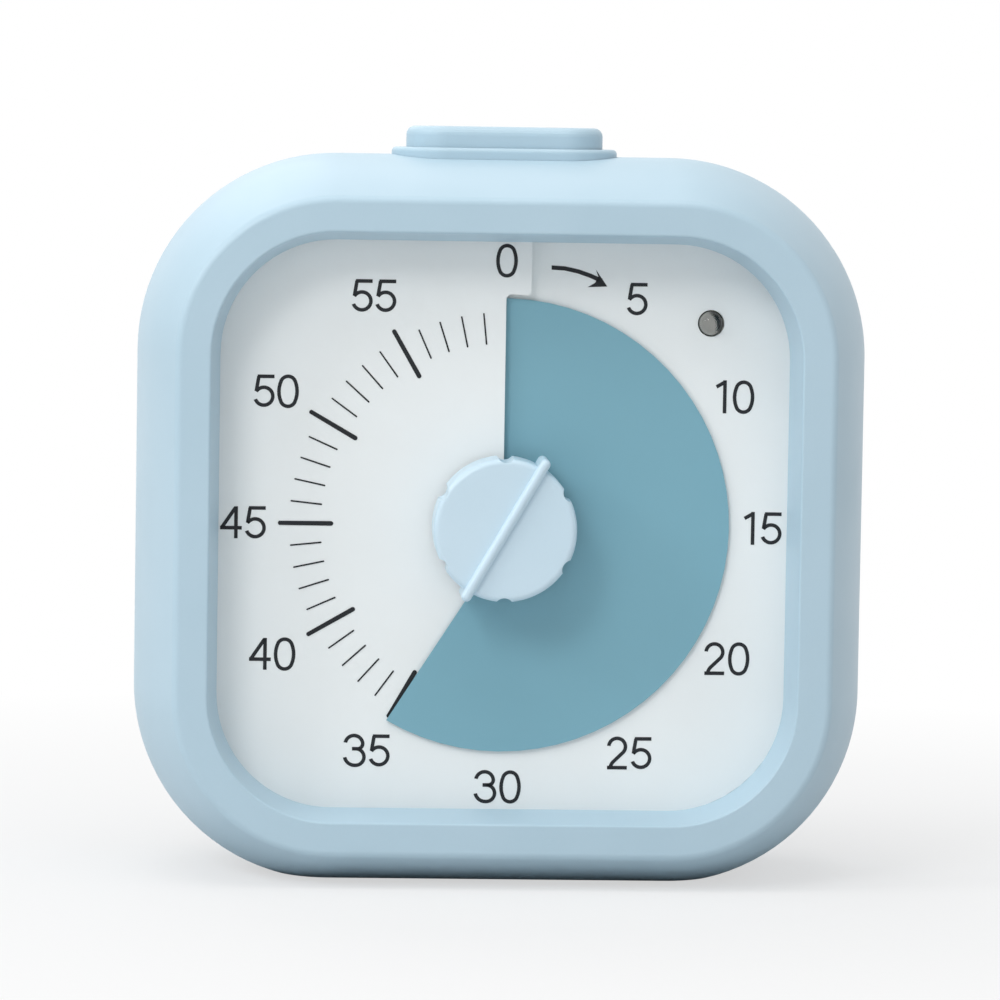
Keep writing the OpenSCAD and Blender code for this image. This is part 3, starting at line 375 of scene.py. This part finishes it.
def print_on_dial(bm, x=0, up=0):
    """Moves a flat drawing to a place on the dial, and lays it on the spiral as a film of ink."""
    for vert in bm.verts:
        vert.co += Vector((x, up, 0))
    bmesh.ops.solidify(bm, geom=list(bm.faces), thickness=INK_T)
    for vert in bm.verts:
        over = INK_LIFT - abs(vert.co.z)
        vert.co = spot(vert.co.x, vert.co.y, dial_depth(vert.co.x, vert.co.y) - over)


def joined(drawings):
    """One mesh from several."""
    whole = bmesh.new()
    for bm in drawings:
        part = bpy.data.meshes.new("drawing")
        bm.to_mesh(part)
        bm.free()
        whole.from_mesh(part)
        bpy.data.meshes.remove(part)
    return whole


OVAL = [(0.88, 67.3), (3.13, 45.4), (0.88, 134.6), (3.13, 45.4), (0.88, 67.3)]
DIGITS = {                               # pen strokes: start, heading, moves
    "0": [((0, 1.74), 180, OVAL)],
    "1": [((0.54, 1.93), -90, [3.86]), ((0.54, 1.72), 210, [1.14])],
    "2": [((-1.1, 0.84), 85, [(0.98, -221), 1.5, (1.3, 38)]), ((-1.27, -1.72), 0, [2.33])],
    "3": [((-1.27, 0.92), 79, [(1.03, -159), (0.6, -100), 0.65]),
          ((-0.04, 0.2), 0, [(0.97, -90), (0.98, -90), 0.12, (1.18, -78)])],
    "4": [((0.45, 1.86), -90, [3.73]), ((0.38, 1.72), 236, [2.75]), ((-1.4, -0.64), 0, [2.53])],
    "5": [((-0.8, 1.7), 0, [1.95]), ((-0.66, 1.72), 261, [1.78]),
          ((-0.95, -0.08), 59, [(1.04, -309)])],
}
DIGIT_STEP, PEN = 2.74, 0.42
NUMBER_R, OTHER_NUMBER_R = 30.7, {0: 30.9, 15: 30.15, 45: 30.15}
MINUTE_MARK = (21.2, 24.9, 0.19)         # inner radius, outer radius and width
FIVE_MINUTE_MARK = (19.75, 26.2, 0.54)
ARROW_SHAFT = ((5.27, 30.14), 1, [(10.5, -17), (18, -9.5)], 0.5)
ARROW_HEAD = [(11.8, 28.02), (10.43, 29.98), (10.75, 29.12), (10.36, 28.42), (9.49, 27.91)]


def number(value):
    """An upright number at its minute's place on the dial."""
    bm = bmesh.new()
    text = str(value)
    for place, digit in enumerate(text):
        shift = (place - (len(text) - 1) / 2) * DIGIT_STEP
        for start, heading, moves in DIGITS[digit]:
            stroke(bm, (start[0] + shift, start[1]), heading, moves, PEN)
    turn = math.radians(MINUTE_TURN * value)
    radius = OTHER_NUMBER_R.get(value, NUMBER_R)
    print_on_dial(bm, radius * math.sin(turn), radius * math.cos(turn))
    return bm


def tick(minute, inner, outer, width):
    """A radial mark with round ends."""
    turn = math.radians(MINUTE_TURN * minute)
    bm = bmesh.new()
    bmesh.ops.create_circle(bm, cap_ends=True, segments=16, radius=width / 2)
    far = [v for v in bm.verts if v.co.y > WELD]
    bmesh.ops.translate(bm, verts=far, vec=(0, outer - inner - width, 0))
    bmesh.ops.translate(bm, verts=bm.verts, vec=(0, inner + width / 2, 0))
    bmesh.ops.rotate(bm, verts=bm.verts, matrix=Matrix.Rotation(-turn, 3, "Z"))
    print_on_dial(bm)
    return bm


def arrow():
    """The curved arrow after the 0, which shows the way to turn the knob."""
    bm = bmesh.new()
    stroke(bm, *ARROW_SHAFT)
    bm.faces.new([bm.verts.new((*corner, 0)) for corner in ARROW_HEAD])
    print_on_dial(bm)
    return bm


MINUTES, FIVES = range(1, 60), range(0, 60, 5)
for name, drawings in (
        ("minute_marks", [tick(m, *MINUTE_MARK) for m in MINUTES if m not in FIVES]),
        ("five_minute_marks", [tick(m, *FIVE_MINUTE_MARK) for m in MINUTES if m in FIVES]),
        ("dial_numbers", [number(m) for m in FIVES]),
        ("turn_arrow", [arrow()])):
    piece(name, joined(drawings), INK, "housing")

# ---------------------------------------------------------------- smooth spirals and springs

def smoothed(name, node, body, slot, smooth=30):
    """Stands for a CAD node with a copy whose shallow edges are shaded round."""
    bm = bmesh.new()
    bm.from_mesh(frame["nodes"][node].data)
    made = piece(name, bm, FINISHES[slot], body, smooth)
    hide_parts(node)
    return made


smoothed("spiral_dial", "dial_plate", "housing", "dial_white")
smoothed("spiral_film", "time_film", "film_disc", "film_teal")
springs = smoothed("pressed_springs", "button_springs", "housing", "steel", 50)
spring_foot, spring_head = (corner.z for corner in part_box("button_springs"))
travel = next(j["range_m"][1] for j in frame["joints"] if j["name"] == "button_press")
1 - travel / (spring_head - spring_foot)
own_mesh(springs)

# ---------------------------------------------------------------- inside the lamp

CUP_POST, WIRE_POST = (0.7, 1.6, 0.4), (0.3, 1.0, 0.4)    # width, depth and height
CUP_R, CUP_FOOT_R, CUP_T = 0.72, 0.5, 0.6                 # the cup widens to the front


def block(bm, x, up, front, size):
    """Adds a block in millimetres by the middle of its front face."""
    bmesh.ops.create_cube(bm, size=1, matrix=Matrix.Translation(
        spot(x, up, front + size[1] / 2)) @ Matrix.Diagonal((*(side * MM for side in size), 1)))


def lead_frame():
    """The lamp's two posts; the wider one ends in the cup that holds the chip."""
    low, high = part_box("led")
    x, up = (low.x + high.x) / 2 / MM, (low.z + high.z) / 2 / MM - CENTRE_Z
    front = low.y / MM - FACE_Y
    bm = bmesh.new()
    block(bm, x - 0.3, up, front + 2.8, CUP_POST)
    block(bm, x + 0.75, up, front + 3.4, WIRE_POST)
    facing = Matrix.Translation(spot(x - 0.36, up - 0.14, front + 2.5))
    bmesh.ops.create_cone(
        bm, cap_ends=True, segments=24, radius1=CUP_FOOT_R * MM, radius2=CUP_R * MM,
        depth=CUP_T * MM, matrix=facing @ Matrix.Rotation(math.radians(90), 4, "X"))
    return bm


piece("lamp_lead_frame", lead_frame(), FINISHES["steel"], "housing")

# ---------------------------------------------------------------- floor and background

FLOOR_HALF = 3                           # metres, as the rest of the scene from here on
FLOOR_NEAR, FLOOR_FAR = 0.05, 0.2        # between these distances the floor fades to white
FLOOR_WHITE = 0.6                        # share of plain white in what the camera sees nearby
MIRRORED_FAR = 0.3
AMBIENT = 0.5

# The floor is matt and takes the shadow; further off, the camera sees it as plain white.
ground = Finish("pale_floor", Base_Color=tint(216, 217, 218), Roughness=0.9)
distance = ground.node("VectorMath", {"operation": "LENGTH"}, {0: ground.place}, "Value")
white = (ground.rays("Camera")
         * ground.band(distance, FLOOR_NEAR, FLOOR_FAR, FLOOR_WHITE, 1.0)
         + ground.rays("Glossy", "Transmission")
         * ground.band(distance, FLOOR_NEAR, MIRRORED_FAR))
glow = ground.node("Emission", {}, {"Color": (1, 1, 1, 1), "Strength": 1.0})
seen = ground.node("MixShader", {}, {0: white, 1: Signal(ground, ground.surface.outputs[0]), 2: glow})
ground.links.new(seen.socket, ground.nodes["Material Output"].inputs[0])

bm = bmesh.new()
bmesh.ops.create_grid(bm, x_segments=1, y_segments=1, size=FLOOR_HALF)
floor_mesh = bpy.data.meshes.new("floor")
bm.to_mesh(floor_mesh)
bm.free()
floor = bpy.data.objects.new("floor", floor_mesh)
floor_mesh.materials.append(ground.material)
bpy.context.scene.collection.objects.link(floor)

world = bpy.data.worlds.new("studio")
bpy.context.scene.world = world
world.use_nodes = True
studio = Tree(world.node_tree)
sky = studio.nodes["Background"]
sky.inputs["Color"].default_value = (1, 1, 1, 1)
strength = studio.band(studio.rays("Camera", "Glossy", "Transmission"), 0, 1, AMBIENT, 1.0)
studio.links.new(strength.socket, sky.inputs["Strength"])

# ---------------------------------------------------------------- lamps and camera

def lamp(name, place, size, power, aim=(0, 0, 0.045)):
    """A square softbox at place, in metres, that faces aim."""
    data = bpy.data.lights.new(name, "AREA")
    data.shape, data.size, data.energy = "SQUARE", size, power
    made = bpy.data.objects.new(name, data)
    made.location = place
    made.rotation_mode = "QUATERNION"
    made.rotation_quaternion = (Vector(aim) - Vector(place)).to_track_quat("-Z", "Y")
    bpy.context.scene.collection.objects.link(made)


lamp("key_softbox", (-0.4, -0.72, 0.61), 0.28, 2.15)
lamp("top_softbox", (-0.05, -0.18, 0.74), 0.5, 1.9)
lamp("left_softbox", (-0.62, -0.25, 0.47), 0.28, 1.5)
lamp("rim_softbox", (-0.2, 0.55, 0.6), 0.5, 1.0)

VIEW_SIDE, VIEW_UP, VIEW_ROLL = (math.radians(a) for a in (2.52, 4.33, 0.92))
VIEW_DISTANCE = 0.633
LENS, SENSOR = 197.76, 36
SHIFT = (-0.0055, 0.0307)

back = Vector((-math.sin(VIEW_SIDE) * math.cos(VIEW_UP),
               -math.cos(VIEW_SIDE) * math.cos(VIEW_UP), math.sin(VIEW_UP)))
right = (-back).cross(Vector((0, 0, 1))).normalized()
up = right.cross(-back)
turned_right = right * math.cos(VIEW_ROLL) + up * math.sin(VIEW_ROLL)
turned_up = up * math.cos(VIEW_ROLL) - right * math.sin(VIEW_ROLL)
camera_data = bpy.data.cameras.new("camera")
camera_data.lens, camera_data.sensor_width = LENS, SENSOR
camera_data.shift_x, camera_data.shift_y = SHIFT
camera = bpy.data.objects.new("camera", camera_data)
camera.matrix_world = Matrix.Translation(spot(0, 0, 0) + back * VIEW_DISTANCE) @ Matrix(
    (turned_right, turned_up, back)).transposed().to_4x4()
bpy.context.scene.collection.objects.link(camera)
bpy.context.scene.camera = camera
bpy.context.scene.view_settings.view_transform = "Standard"
